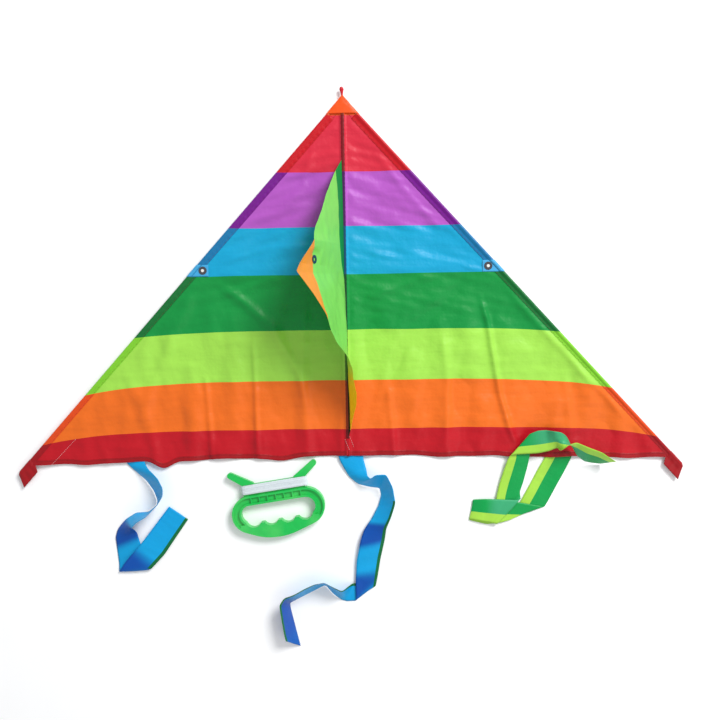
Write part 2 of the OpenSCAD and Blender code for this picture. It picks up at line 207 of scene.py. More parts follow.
def meshObject(name, points, faces, material, uvs=None, flat=False):
    # points are in mm as (x, d, z); uvs maps a layer name to one (u, v) for each point
    mesh = bpy.data.meshes.new(name)
    pts = toMetres(points).reshape(-1, 3)
    faces = np.asarray(faces)
    size = faces.shape[1]
    mesh.vertices.add(len(pts))
    mesh.vertices.foreach_set("co", pts.ravel())
    mesh.loops.add(faces.size)
    mesh.loops.foreach_set("vertex_index", faces.ravel())
    mesh.polygons.add(len(faces))
    mesh.polygons.foreach_set("loop_start", np.arange(len(faces)) * size)
    mesh.update(calc_edges=True)
    for layer, uv in (uvs or {}).items():
        data = mesh.uv_layers.new(name=layer).data
        data.foreach_set("uv", np.asarray(uv, float).reshape(-1, 2)[faces.ravel()].ravel())
    mesh.validate()
    mesh.polygons.foreach_set("use_smooth", np.full(len(mesh.polygons), not flat))
    mesh.materials.append(material)
    obj = bpy.data.objects.new(name, mesh)
    bpy.context.scene.collection.objects.link(obj)
    return obj


def thicken(obj, mm, offset=0.0):
    m = obj.modifiers.new("film", "SOLIDIFY")
    m.thickness, m.offset, m.use_even_offset = mm * 1e-3, offset, False
    return obj


def addNode(tree, kind, sets=None, links=None):
    # one node: names in sets are its own settings, numbers and other names are its inputs' values
    n = tree.nodes.new("ShaderNode" + kind)
    for key, value in (sets or {}).items():
        if isinstance(key, str) and key in n.bl_rna.properties:
            setattr(n, key, value)
        else:
            n.inputs[key].default_value = value
    for key, socket in (links or {}).items():
        tree.links.new(socket, n.inputs[key])
    return n


def newMaterial(name):
    m = bpy.data.materials.new(name)
    m.use_nodes = True
    m.node_tree.nodes.clear()
    return m, m.node_tree


def stripes(tree, value, stops, span):
    # colour bands by distance: constant steps at each boundary, in mm, over a span of mm
    pos = addNode(tree, "Math", {"operation": "DIVIDE", 1: span}, {0: value})
    ramp = addNode(tree, "ValToRGB", links={0: pos.outputs[0]})
    ramp.color_ramp.interpolation = "CONSTANT"
    bands = ramp.color_ramp.elements
    while len(bands) < len(stops):
        bands.new(0.5)
    for band, (start, hexCode) in zip(bands, stops):
        band.position = start / span
        band.color = colour(hexCode)
    return ramp.outputs[0]


def finishCloth(tree, base, coords, hexCode="ffffff", glow=0.12, crinkle=0.35):
    # woven film: a faint crossing ripple, drag streaks and small crinkles as bump, painted sheen and shade
    # along the drag streaks in the colour, a satin face, and some light let through
    threads = {"wave_type": "BANDS", "Scale": 1000 / 0.9 / 20, "Distortion": 0.3}   # 2 pi times 0.9 mm apart
    warp = addNode(tree, "TexWave", {**threads, "bands_direction": "X"}, {0: coords})
    weft = addNode(tree, "TexWave", {**threads, "bands_direction": "Y"}, {0: coords})
    weave = addNode(tree, "Math", {"operation": "MULTIPLY"}, {0: warp.outputs[1], 1: weft.outputs[1]})
    big = addNode(tree, "TexNoise", {"Scale": 1000 / 28, "Detail": 3.0, "Roughness": 0.55}, {0: coords})
    fine = addNode(tree, "TexNoise", {"Scale": 1000 / 7, "Detail": 2.0}, {0: coords})
    drawn = addNode(tree, "Mapping", {"Rotation": (0, 0, 0.25), "Scale": (0.14, 1.0, 1.0)}, {0: coords})
    streak = addNode(tree, "TexNoise", {"Scale": 1000 / 12, "Detail": 2.0}, {0: drawn.outputs[0]})
    folds = addNode(tree, "Bump", {"Strength": crinkle, "Distance": 0.0024}, {"Height": big.outputs[0]})
    drags = addNode(tree, "Bump", {"Strength": crinkle, "Distance": 0.0014},
                    {"Height": streak.outputs[0], "Normal": folds.outputs[0]})
    creases = addNode(tree, "Bump", {"Strength": crinkle * 0.6, "Distance": 0.0005},
                      {"Height": fine.outputs[0], "Normal": drags.outputs[0]})
    cloth = addNode(tree, "Bump", {"Strength": 0.15, "Distance": 0.0001},
                    {"Height": weave.outputs[0], "Normal": creases.outputs[0]})
    # painted sheen and shade: the colour is made a little lighter or darker with the same noise that bumps the
    # drag streaks
    tone = addNode(tree, "MapRange", {"From Min": 0.3, "From Max": 0.7, "To Min": 0.96, "To Max": 1.03},
                   {0: streak.outputs[0]})
    shade = addNode(tree, "HueSaturation", {"Color": colour(hexCode)},
                    {"Value": tone.outputs[0], **({"Color": base} if base else {})})
    bsdf = addNode(tree, "BsdfPrincipled", {"Roughness": 0.4, "Specular IOR Level": 0.3, "Sheen Weight": 0.03},
                   {"Base Color": shade.outputs[0], "Normal": cloth.outputs[0]})
    through = addNode(tree, "BsdfTranslucent", links={"Color": shade.outputs[0], "Normal": cloth.outputs[0]})
    both = addNode(tree, "MixShader", {0: glow}, {1: bsdf.outputs[0], 2: through.outputs[0]})
    addNode(tree, "OutputMaterial", links={0: both.outputs[0]})


# Polyester taffeta, printed in bands, calendered: saturated colours, with a soft painted sheen and painted
# shade along each drag streak
# Each band starts so many mm aft of the nose; where the film lies double its colours are deeper
bandStarts = (0, 26, 108, 188, 259, 341, 416, 489)
sailColours = ("e4561a", "d4283f", "b356c0", "0aa2cf", "07913f", "a2de50", "ee6f1c", "c00e1f")
sleeveColours = ("c43a08", "bd0617", "700a86", "0a6fa3", "04692c", "7cc62c", "dc480f", "9c0814")


def bandedTaffeta(name, colours, glow=0.12):
    m, tree = newMaterial(name)
    cloth = addNode(tree, "UVMap", {"uv_map": "cloth"}).outputs[0]
    seams = addNode(tree, "UVMap", {"uv_map": "seams"}).outputs[0]
    xy = addNode(tree, "SeparateXYZ", links={0: cloth})
    near = addNode(tree, "SeparateXYZ", links={0: seams})
    # the print droops close to the leading edge: its depth, which grows to 18 mm behind, times exp(-inset / 50)
    far = addNode(tree, "Math", {"operation": "MULTIPLY", 1: -1000 / 50}, {0: near.outputs[0]})
    fall = addNode(tree, "Math", {"operation": "EXPONENT"}, {0: far.outputs[0]})
    behind = {"interpolation_type": "SMOOTHSTEP", "From Min": 0.26, "From Max": 0.46}
    depth = addNode(tree, "MapRange", {**behind, "To Min": 0.0, "To Max": -18.0}, {0: xy.outputs[1]})
    droop = addNode(tree, "Math", {"operation": "MULTIPLY"}, {0: fall.outputs[0], 1: depth.outputs[0]})
    wobble = addNode(tree, "TexNoise", {"Scale": 1000 / 120, "Detail": 1.0}, {0: cloth})
    place = addNode(tree, "Math", {"operation": "MULTIPLY_ADD", 1: 1000.0},
                    {0: xy.outputs[1], 2: droop.outputs[0]})
    place = addNode(tree, "Math", {"operation": "MULTIPLY_ADD", 1: 3.0},
                    {0: wobble.outputs[0], 2: place.outputs[0]})
    place = addNode(tree, "Math", {"operation": "SUBTRACT", 1: 1.5}, {0: place.outputs[0]})
    bands = stripes(tree, place.outputs[0], list(zip(bandStarts, colours)), 600)
    finishCloth(tree, bands, cloth, glow=glow, crinkle=0.5)
    return m


# The binding over the spine lies over two more layers, so each of its colours is 0.62 times the sleeve's
tapeColours = ["".join("%02x" % int(int(code[i:i + 2], 16) * 0.62) for i in (0, 2, 4))
               for code in sleeveColours]
boundTaffeta = bandedTaffeta("bound_seam_taffeta", tapeColours, glow=0.02)
printedTaffeta = bandedTaffeta("calendered_printed_taffeta", sailColours)
foldedTaffeta = bandedTaffeta("folded_double_taffeta", sleeveColours, glow=0.04)


def keelTaffetaMaterial():
    # sheer lime cloth, yellower behind, with an orange point, a green strip along its foot in front and painted
    # shade along its foot behind
    m, tree = newMaterial("calendered_keel_taffeta")
    cloth = addNode(tree, "UVMap", {"uv_map": "cloth"}).outputs[0]
    xy = addNode(tree, "SeparateXYZ", links={0: cloth})
    eased = {"interpolation_type": "SMOOTHSTEP"}
    behind = addNode(tree, "MapRange", {**eased, "From Min": 0.36, "From Max": 0.43}, {0: xy.outputs[0]})
    body = addNode(tree, "Mix", {"data_type": "RGBA", 6: colour("90e36c"), 7: colour("f6e11c")},
                   {0: behind.outputs[0]})
    # the orange starts at a height of 97 mm at the eyelet, plus 0.24 times the distance along from it,
    # less 0.14 times how far aft of it
    aft = addNode(tree, "Math", {"operation": "SUBTRACT", 1: 0.243}, {0: xy.outputs[0]})
    gone = addNode(tree, "Math", {"operation": "ABSOLUTE"}, {0: aft.outputs[0]})
    slant = addNode(tree, "Math", {"operation": "MULTIPLY_ADD", 1: 0.14}, {0: aft.outputs[0], 2: xy.outputs[1]})
    above = addNode(tree, "Math", {"operation": "MULTIPLY_ADD", 1: -0.24},
                    {0: gone.outputs[0], 2: slant.outputs[0]})
    tip = addNode(tree, "Math", {"operation": "GREATER_THAN", 1: 0.097}, {0: above.outputs[0]})
    pointed = addNode(tree, "Mix", {"data_type": "RGBA", 7: colour("f0a63c")},
                      {0: tip.outputs[0], 6: body.outputs[2]})
    # the green foot: 17.5 mm high in front and running out to nothing, then a low strip behind whose green is
    # darkened near to black as painted shade
    ends = {"From Min": 0.215, "From Max": 0.29, "To Min": 0.0175, "To Max": 0.0}
    strip = addNode(tree, "MapRange", {**eased, **ends}, {0: xy.outputs[0]})
    rise = {"From Min": 0.36, "From Max": 0.4, "To Min": 0.0, "To Max": 0.009}
    tail = addNode(tree, "MapRange", rise, {0: xy.outputs[0]})
    foot = addNode(tree, "Math", {"operation": "MAXIMUM"}, {0: strip.outputs[0], 1: tail.outputs[0]})
    low = addNode(tree, "Math", {"operation": "LESS_THAN"}, {0: xy.outputs[1], 1: foot.outputs[0]})
    # painted shade: the foot's green darkens to near black behind
    green = addNode(tree, "Mix", {"data_type": "RGBA", 6: colour("0b9a45"), 7: colour("0b3a17")},
                    {0: behind.outputs[0]})
    base = addNode(tree, "Mix", {"data_type": "RGBA"},
                   {0: low.outputs[0], 6: pointed.outputs[2], 7: green.outputs[2]})
    finishCloth(tree, base.outputs[2], cloth, glow=0.38, crinkle=0.25)
    return m


keelTaffeta = keelTaffetaMaterial()


def ribbonTaffetaMaterial(name, hexCode, paintedShadingCode, edgeCode, edgeAt, edgeFrom):
    # cut ribbon: one colour, mixed in broad stretches by noise with a second tone that is painted shade where
    # deeper and painted light where paler, and an edge colour along one side from edgeAt across it, starting
    # edgeFrom along it, both in m
    m, tree = newMaterial(name)
    cloth = addNode(tree, "UVMap", {"uv_map": "cloth"}).outputs[0]
    xy = addNode(tree, "SeparateXYZ", links={0: cloth})
    side = addNode(tree, "Math", {"operation": "GREATER_THAN", 1: edgeAt}, {0: xy.outputs[0]})
    after = addNode(tree, "Math", {"operation": "GREATER_THAN", 1: edgeFrom}, {0: xy.outputs[1]})
    both = addNode(tree, "Math", {"operation": "MULTIPLY"}, {0: side.outputs[0], 1: after.outputs[0]})
    # painted shade on the blue ribbons and painted light on the green one: broad stretches of the second tone,
    # laid by stretched noise
    wide = addNode(tree, "Mapping", {"Rotation": (0, 0, 0.35), "Scale": (0.25, 1.0, 1.0)}, {0: cloth})
    broad = addNode(tree, "TexNoise", {"Scale": 1000 / 60, "Detail": 0.0}, {0: wide.outputs[0]})
    eased = {"interpolation_type": "SMOOTHSTEP", "From Min": 0.5, "From Max": 0.64}
    paintedShading = addNode(tree, "MapRange", eased, {0: broad.outputs[0]})
    body = addNode(tree, "Mix", {"data_type": "RGBA", 6: colour(hexCode), 7: colour(paintedShadingCode)},
                   {0: paintedShading.outputs[0]})
    base = addNode(tree, "Mix", {"data_type": "RGBA", 7: colour(edgeCode)},
                   {0: both.outputs[0], 6: body.outputs[2]})
    finishCloth(tree, base.outputs[2], cloth, glow=0.2, crinkle=0.4)
    return m


# each ribbon's colour, its second tone (deeper blue as painted shade, paler teal on the green ribbon as painted
# light through the film) and its edge colour
blueCodes = ("08abe6", "0654b4", "08713a")
ribbons = {
    "left": ribbonTaffetaMaterial("cut_taffeta_ribbon_blue_left", *blueCodes, 0.031, 0.24),
    "centre": ribbonTaffetaMaterial("cut_taffeta_ribbon_blue_centre", *blueCodes, 0.031, 0.11),
    "right": ribbonTaffetaMaterial("cut_taffeta_ribbon_green", "08a850", "3fb27a", "b0e650", 0.022, 0.0),
}


def plainCloth(name, hexCode, glow=0.1, crinkle=0.2):
    m, tree = newMaterial(name)
    finishCloth(tree, None, addNode(tree, "TexCoord").outputs["Object"], hexCode, glow=glow, crinkle=crinkle)
    return m


# Doubled and gathered scraps of the same film: less light comes through, and the crinkles are deeper
tabTaffeta = plainCloth("doubled_pale_blue_taffeta", "3f9fd2", 0.04)
noseTaffeta = plainCloth("gathered_orange_taffeta", "e5500f", 0.04, 0.5)
budTaffeta = plainCloth("gathered_red_taffeta", "c01626", 0.04, 0.5)


def solidMaterial(name, hexCode, rough, speckMm=2.0, tones=(0.9, 1.06), bump=0.1,
                  metallic=0.0, second=None, through=0.0):
    # one colour, or two mixed in broad patches, varied by noise at a real size,
    # with fine bump and uneven roughness
    m, tree = newMaterial(name)
    coords = addNode(tree, "TexCoord").outputs["Object"]
    noise = addNode(tree, "TexNoise", {"Scale": 1000 / speckMm, "Detail": 4.0}, {0: coords})
    spread = {"From Min": 0.3, "From Max": 0.7}
    tone = addNode(tree, "MapRange", {**spread, "To Min": tones[0], "To Max": tones[1]}, {0: noise.outputs[0]})
    broad = addNode(tree, "TexNoise", {"Scale": 1000 / 45, "Detail": 1.0}, {0: coords})
    part = addNode(tree, "MapRange", {"From Min": 0.42, "From Max": 0.6}, {0: broad.outputs[0]})
    mixed = addNode(tree, "Mix", {"data_type": "RGBA", 6: colour(hexCode), 7: colour(second or hexCode)},
                    {0: part.outputs[0]})
    shade = addNode(tree, "HueSaturation", links={"Color": mixed.outputs[2], "Value": tone.outputs[0]})
    gloss = addNode(tree, "MapRange", {**spread, "To Min": rough * 0.85, "To Max": min(1.0, rough * 1.2)},
                    {0: noise.outputs[0]})
    rise = addNode(tree, "Bump", {"Strength": bump, "Distance": 0.00005}, {"Height": noise.outputs[0]})
    bsdf = addNode(tree, "BsdfPrincipled",
                   {"Metallic": metallic, "Subsurface Weight": through, "Subsurface Scale": 0.004},
                   {"Base Color": shade.outputs[0], "Roughness": gloss.outputs[0], "Normal": rise.outputs[0]})
    addNode(tree, "OutputMaterial", links={0: bsdf.outputs[0]})
    return m


# Pultruded fibreglass: cream, faint fibres, dull
fibreglass = solidMaterial("pultruded_fibreglass", "d9d3b6", 0.5, speckMm=1.2, bump=0.3)
# Dip-moulded vinyl: black, soft sheen
vinyl = solidMaterial("dip_moulded_vinyl", "1b1b1d", 0.55, speckMm=3)
# Gunmetal-plated stamped steel: dark and shiny, with rolled-edge tool marks
gunmetalSteel = solidMaterial("stamped_gunmetal_plated_steel", "6a686c", 0.25, speckMm=1.5, bump=0.25,
                              metallic=1.0)
# Injection-moulded natural nylon: off-white, faintly matt
nylon = solidMaterial("injection_moulded_natural_nylon", "e2e0da", 0.45, speckMm=0.8, bump=0.2)
# Injection-moulded polypropylene: waxy semi-gloss, slightly see-through at thin edges; the lighter yellow-green
# mixed in broad patches is painted highlight
polypropylene = solidMaterial("injection_moulded_polypropylene", "0ab84c", 0.33, speckMm=6, tones=(0.94, 1.03),
                              bump=0.08, second="3fc45a", through=0.08)
# Twisted polyester line: white with a cold cast, matt
twistedLine = solidMaterial("twisted_polyester_line", "dfe8ec", 0.6, speckMm=1.0, tones=(0.84, 1.02), bump=0.5)
# Spun polyester thread: dull, in a pale and a dark red shade
threadPale = solidMaterial("spun_polyester_thread_pale", "efc9c9", 0.7, speckMm=0.6)
threadRed = solidMaterial("spun_polyester_thread_dark_red", "6d1420", 0.7, speckMm=0.6)
print("materials made")

# Camera, light, floor
# The camera looks down on a point of the spine. It is tilted about x, y and z in turn, in degrees,
# and then moved across and down its own picture, so that the tails and the winder come into view.
view = {
    "distance": 1.337, "tilts": (2.8, -1.15, 0.88), "aimD": 270.0,
    "across": 0.0217, "down": 0.1174, "lens": 45,
}
cameraData = bpy.data.cameras.new("camera")
cameraData.lens, cameraData.sensor_width = view["lens"], 36
camera = bpy.data.objects.new("camera", cameraData)
turned = Euler([math.radians(v) for v in view["tilts"]], "XYZ").to_matrix().transposed()
aim = Vector((0, kite["noseY"] - view["aimD"] * 1e-3, 0))
place = aim + turned @ Vector((view["across"], -view["down"], view["distance"]))
camera.matrix_world = Matrix.Translation(place) @ turned.to_4x4()
bpy.context.scene.collection.objects.link(camera)
bpy.context.scene.camera = camera
bpy.context.scene.view_settings.view_transform = "Standard"

light = {
    "key": {"place": (1.5, 1.75, 2.1), "size": 1.3, "watts": 92.0},
    "fill": {"place": (1.2, -0.9, 1.8), "size": 1.6, "watts": 6.0},
    "sky": 0.58, "skyColour": (0.97, 0.98, 1.0, 1),
}


def areaLight(name, place, size, watts):
    # a round lamp that faces the middle of the floor
    data = bpy.data.lights.new(name, "AREA")
    data.shape, data.size, data.energy = "DISK", size, watts
    lamp = bpy.data.objects.new(name, data)
    facing = (-Vector(place)).to_track_quat("-Z", "Y").to_matrix().to_4x4()
    lamp.matrix_world = Matrix.Translation(place) @ facing
    bpy.context.scene.collection.objects.link(lamp)


for lampName in ("key", "fill"):
    areaLight(lampName, **light[lampName])
world = bpy.data.worlds.new("studio")
bpy.context.scene.world = world
world.use_nodes = True
sky = world.node_tree.nodes["Background"].inputs
sky["Color"].default_value, sky["Strength"].default_value = light["skyColour"], light["sky"]

# Matt painted board: near white and even
floorPaint = solidMaterial("matt_painted_board", "fdfdfd", 0.8, speckMm=60, tones=(0.995, 1.0), bump=0.0)
reach, under = 3000.0, -0.1
corners = [[-reach, -reach, under], [reach, -reach, under],
           [reach, reach + 800, under], [-reach, reach + 800, under]]
floor = meshObject("floor", corners, [[3, 2, 1, 0]], floorPaint, flat=True)

# Flying line, wound on the winder
winder = {"x": -111.0, "d": 573.5, "z": 7.0, "turn": 8.5}
lineWound = {
    "diameter": 0.6, "turns": 136, "perLayer": 24.7, "steps": 18,
    "halfU": 48.6, "halfZ": 2.75, "halfV": 7.0, "layerRise": 0.52,
}


def fromWinder(u, v, z):
    # the winder's own frame, turned about z and moved to its place
    c, s = math.cos(math.radians(winder["turn"])), math.sin(math.radians(winder["turn"]))
    return np.stack([winder["x"] + u * c - v * s, winder["d"] - (u * s + v * c), winder["z"] + z], -1)


def windLine():
    # loops round the neck as a superellipse in u and z; v sweeps from side to side once a layer
    # and each layer stands a little further out
    q = lineWound
    t = np.arange(q["turns"] * q["steps"] + 1) / q["steps"]
    phi = 2 * np.pi * t
    layer = np.floor(t / q["perLayer"])
    sweep = t / q["perLayer"] - layer
    v = q["halfV"] * (1 - 2 * np.where(layer % 2 == 0, sweep, 1 - sweep)) * (1 - 0.03 * layer)
    jitter = np.interp(t, np.arange(q["turns"] + 2), rng.uniform(-1, 1, q["turns"] + 2))
    cross = np.interp(t, np.arange(q["turns"] + 2), rng.uniform(-1, 1, q["turns"] + 2))
    out = q["layerRise"] * (layer + smooth((sweep - 0.97) / 0.03)) + 0.12 * jitter
    c, s = np.cos(phi), np.sin(phi)
    crown = 0.5 * (1 - (v / q["halfV"]) ** 2)
    u = (q["halfU"] + out * 0.55) * np.sign(c) * np.abs(c) ** 0.22
    z = (q["halfZ"] + out + crown * (layer / 5)) * np.sign(s) * np.abs(s) ** 0.45
    return fromWinder(u, v + 0.35 * cross * s, z)


linePoints = windLine()
lineCurve = bpy.data.curves.new("wound_line", "CURVE")
lineCurve.dimensions, lineCurve.bevel_depth, lineCurve.bevel_resolution = "3D", lineWound["diameter"] / 2000, 1
spline = lineCurve.splines.new("POLY")
spline.points.add(len(linePoints) - 1)
spline.points.foreach_set("co", np.c_[toMetres(linePoints), np.ones(len(linePoints))].ravel())
spline.use_smooth = True
lineCurve.materials.append(twistedLine)
wound = bpy.data.objects.new("wound_line", lineCurve)
bpy.context.scene.collection.objects.link(wound)


def tube(name, path, radius, material, sides=8):
    # a circle carried along a path: centre plus radius times (cos, sin) in the plane across the way there
    path = np.asarray(path, float)
    ahead = np.gradient(path, axis=0)
    ahead /= np.linalg.norm(ahead, axis=1)[:, None]
    across = np.cross(ahead, [0.1, 0.2, 1.0])
    across /= np.linalg.norm(across, axis=1)[:, None]
    over = np.cross(across, ahead)
    a = np.linspace(0, 2 * np.pi, sides, endpoint=False)
    size = np.broadcast_to(np.asarray(radius, float), (len(path),))[:, None, None]
    around = np.cos(a)[None, :, None] * across[:, None] + np.sin(a)[None, :, None] * over[:, None]
    ring = path[:, None] + size * around
    return meshObject(name, ring, gridFaces(len(path), sides, wrapV=True), material)


# The line's end is tied in a trefoil: sin k + 1.6 sin 2k, cos k - 1.6 cos 2k, -sin 3k
k = np.linspace(0, 2 * np.pi, 61)
knotU = 47 + 0.45 * (np.sin(k) + 1.6 * np.sin(2 * k))
knotV = -6.5 + 0.45 * (np.cos(k) - 1.6 * np.cos(2 * k))
knot = fromWinder(knotU, knotV, 6.4 - 0.5 * np.sin(3 * k))
lineKnot = tube("line_end_knot", knot, lineWound["diameter"] / 2, twistedLine)
for piece in (wound, lineKnot):
    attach(piece, "winder")
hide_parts("flying_line")

# Sail halves
def seamUvs(x, d):
    # "cloth" is the place on the film, "seams" the distances in from the leading edge and from the hem, in m
    cloth = np.stack([x * 1e-3, d * 1e-3], -1)
    return {"cloth": cloth, "seams": np.stack([edgeInset(x, d) * 1e-3, (hemD(x) - d) * 1e-3], -1)}


def sailHalf(side, name):
    # columns out along the span, rows from the leading edge to the hem; height from sailHeight
    u = np.linspace(0, 1, sail["columns"])[:, None] ** 1.15
    v = np.linspace(0, 1, sail["rows"])[None, :]
    ax = 0.15 + u * 482.2 + 0 * v
    top = np.maximum((3.0 + cosE * ax) / sinE, 24.6)
    x = side * ax
    d = top + (hemD(x) - top) * v
    points = np.stack([x, d, sailHeight(x, d)], -1)
    faces = gridFaces(sail["columns"], sail["rows"], flip=side > 0)
    return thicken(meshObject(name, points, faces, printedTaffeta, seamUvs(x, d)), sail["film"])


hemTurn = {"width": 7.5, "outer": 474, "rise": 0.22, "stitchIn": 5.4, "columns": 240, "rows": 9}


def hemFold(side, name):
    # a narrow turned-under hem: a strip along the trailing edge, lifted clear of the cloth
    # and rounded over its edge
    ax = np.linspace(1.0, hemTurn["outer"], hemTurn["columns"])[:, None]
    a = np.linspace(0, 1, hemTurn["rows"])[None, :]
    rim = (a - 0.85) / 0.15
    inward = hemTurn["width"] * (1 - a) - 0.35 * np.sin(np.pi * np.clip(rim, 0, 1))
    x = side * (ax + 0 * a)
    d = hemD(x) - inward
    pucker = 0.1 * np.sin(x * 2 * np.pi / 6.3)
    z = sailHeight(x, np.minimum(d, hemD(x))) + hemTurn["rise"] + pucker - 0.6 * smooth(rim)
    faces = gridFaces(hemTurn["columns"], hemTurn["rows"], flip=side > 0)
    return thicken(meshObject(name, np.stack([x, d, z], -1), faces, foldedTaffeta, seamUvs(x, d)), sail["film"])


sleeve = {"start": 33.0, "end": 717.5, "front": 13.0, "narrows": 4.0, "film": 0.12, "flapLift": 0.34,
          "columns": 380, "rows": 40}


def sleeveWidth(s):
    # 13 mm at the nose, less a smoothstep to 9 mm at the wingtip
    return sleeve["front"] - sleeve["narrows"] * smooth(s / 700)


def wrapProfile(a, r, width, lift):
    # as a runs from 0 to 1: a flap above the cloth, an arc of 260 degrees round the rod and a flap below;
    # gives the distance in from the edge and the height over the plane
    opening = 50
    arc = np.radians(opening + (360 - 2 * opening) * np.clip((a - 0.3) / 0.4, 0, 1))
    flap = np.where(a < 0.5, np.clip(1 - a / 0.3, 0, 1), np.clip((a - 0.7) / 0.3, 0, 1))
    flat = smooth(flap * 2.2)
    axle = kite["tubeR"]
    w = axle + r * np.cos(arc) + (width - axle - r * np.cos(np.radians(opening))) * flap
    return w, r * np.sin(arc) * (1 - flat) + np.where(a < 0.5, lift, -lift) * flat


def sleeveStrip(side, name):
    # the wrapped profile carried along the leading edge, its flaps following the sail
    s = np.linspace(sleeve["start"], sleeve["end"], sleeve["columns"])[:, None]
    a = np.linspace(0, 1, sleeve["rows"])[None, :]
    w, z = wrapProfile(a, kite["tubeR"] + 0.05, sleeveWidth(s), sleeve["flapLift"])
    x, d = edgePoint(s + 0 * w, w, side)
    pucker = 0.16 * np.sin(s * 2 * np.pi / 8.7) * smooth((w - 5) / 4)
    z = kite["planeZ"] + z + (sailHeight(x, d) - kite["planeZ"]) * smooth((w - 4) / 6) + pucker
    faces = gridFaces(sleeve["columns"], sleeve["rows"], flip=side < 0)
    obj = meshObject(name, np.stack([x, d, z], -1), faces, foldedTaffeta, seamUvs(x, d))
    return thicken(obj, sleeve["film"])


pocket = {"start": 714, "length": 38, "outer": 741, "slant": 0.55, "width": 20.5, "tubeR": 2.95,
          "flapLift": 0.5, "film": 0.2, "grid": 40}


def tipPocket(side, name):
    # a doubled flap over the rod's end: its front edge follows the hem and its outer end slants back
    # towards the inner side
    t = np.linspace(0, 1, pocket["grid"])[:, None]
    a = np.linspace(0, 1, pocket["grid"])[None, :]
    nominal = pocket["start"] + pocket["length"] * t
    wide = np.minimum(pocket["width"], np.clip((nominal - 708) * 1.6, 8.5, 100))
    w, z = wrapProfile(a, pocket["tubeR"] - 1.9 * smooth((nominal - 747) / 5), wide, pocket["flapLift"])
    z = z + kite["planeZ"] - 0.5 + 0.35 * np.sin(nominal * 0.5) * smooth((w - 5) / 4)
    along = pocket["start"] + (pocket["outer"] + pocket["slant"] * w - pocket["start"]) * t
    x, d = edgePoint(along, w, side)
    faces = gridFaces(pocket["grid"], pocket["grid"], flip=side < 0)
    obj = meshObject(name, np.stack([x, d, z], -1), faces, foldedTaffeta, seamUvs(x, d))
    return thicken(obj, pocket["film"])


stitch = {"length": 2.0, "width": 0.42, "height": 0.25, "pitch": 3.2, "lift": 0.42}


def stitches(name, rows, material):
    # one small lozenge per stitch: four corners on the cloth and a ridge of two above, repeated at every
    # place of every row, and all of them facing up
    corner = np.array([[-1, -1, -0.3], [1, -1, -0.3], [1, 1, -0.3],
                       [-1, 1, -0.3], [-0.55, 0, 1], [0.55, 0, 1]])
    size = np.array([stitch["length"] / 2, stitch["width"] / 2, stitch["height"]])
    triangles = np.array([[0, 1, 5], [0, 5, 4], [1, 2, 5], [2, 3, 4],
                          [2, 4, 5], [3, 0, 4], [0, 3, 2], [0, 2, 1]])
    verts = []
    for points in rows:
        ahead = np.gradient(points, axis=0)
        ahead /= np.linalg.norm(ahead, axis=1)[:, None]
        up = np.tile([0.0, 0.0, 1.0], (len(points), 1))
        axes = np.stack([ahead, np.cross(up, ahead), up], 1)
        verts.append((points[:, None] + np.einsum("ck,pkj->pcj", corner * size, axes)).reshape(-1, 3))
    count = sum(len(v) for v in verts) // len(corner)
    faces = (triangles[None] + len(corner) * np.arange(count)[:, None, None]).reshape(-1, 3)
    return meshObject(name, np.concatenate(verts), faces[:, ::-1], material)


def onSail(x, d, lift):
    # places on the sail, raised off it
    return np.stack([x, d, sailHeight(x, d) + lift], -1)


def edgeRow(side, start, end, inset):
    # stitch places every pitch along the leading edge, at an inset that varies with s
    s = np.arange(start, end, stitch["pitch"])
    return onSail(*edgePoint(s, inset(s), side), stitch["lift"])


def lineRow(start, end, lift=0.4, pitch=3.0):
    # stitch places every pitch along a straight line on the sail
    t = np.arange(0, 1, pitch / math.dist(start, end))
    return onSail(start[0] + (end[0] - start[0]) * t, start[1] + (end[1] - start[1]) * t, lift)


def hemRow(side):
    # stitch places every pitch along the hem, a fixed distance in from it
    x = side * np.arange(4, 470, stitch["pitch"])
    return onSail(x, hemD(x) - hemTurn["stitchIn"], stitch["lift"])


cornerSeams = {-1: ((-410, 501), (-446, 538)), 1: ((452, 507), (478, 538))}
for side, tag in ((-1, "left"), (1, "right")):
    wing = tag + "_wing"
    half = sailHalf(side, tag + "_sail_cloth")
    hem = hemFold(side, tag + "_hem_fold")
    strip = sleeveStrip(side, tag + "_sleeve_cloth")
    corner = tipPocket(side, tag + "_tip_pocket_cloth")
    seamRows = [edgeRow(side, 28, 714, lambda s: sleeveWidth(s) - 1.6), hemRow(side)]
    seamStitch = stitches(tag + "_wing_stitches", seamRows, threadRed)
    cornerStitch = stitches(tag + "_corner_stitches", [lineRow(*cornerSeams[side])], threadPale)
    for piece in (half, hem):
        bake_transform(piece)
    for piece in (strip, corner, seamStitch, cornerStitch):
        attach(piece, wing)
    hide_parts(tag + "_sail")
    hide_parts(tag + "_leading_sleeve")
    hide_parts(tag + "_tip_pocket")
print("sail halves, hems, sleeves and pockets made")

# Reinforcing tabs under the eyelets
def wingTab(side, name):
    # a doubled strip straight across the kite, from round the sleeve to just past the eyelet,
    # rising over the sleeve's tube
    d = kite["eyeletD"] + np.linspace(-8.5, 8.5, 30)[:, None]
    t = np.linspace(0, 1, 40)[None, :]
    w = -0.4 + (edgeInset(kite["eyeletX"] - 8.5, d) + 0.4) * t
    ax = (sinE * d - w) / cosE
    rim = np.minimum(np.minimum(d - 243, 260 - d), (1 - t) * 20)
    over = np.sqrt(np.maximum(2.85 ** 2 - (w - 2.3) ** 2, 0))
    z = kite["planeZ"] + np.maximum(over, 0.68) + 0.05 * np.sin(d * 2.1) - 0.3 * (1 - smooth(rim / 1.2))
    points = np.stack([side * ax, d + 0 * t, z], -1)
    return thicken(meshObject(name, points, gridFaces(30, 40, flip=side > 0), tabTaffeta), 0.3, -1)


for side, tag in ((-1, "left"), (1, "right")):
    tab = wingTab(side, tag + "_tab_cloth")
    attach(tab, tag + "_wing")
    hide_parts(tag + "_wing_tab")

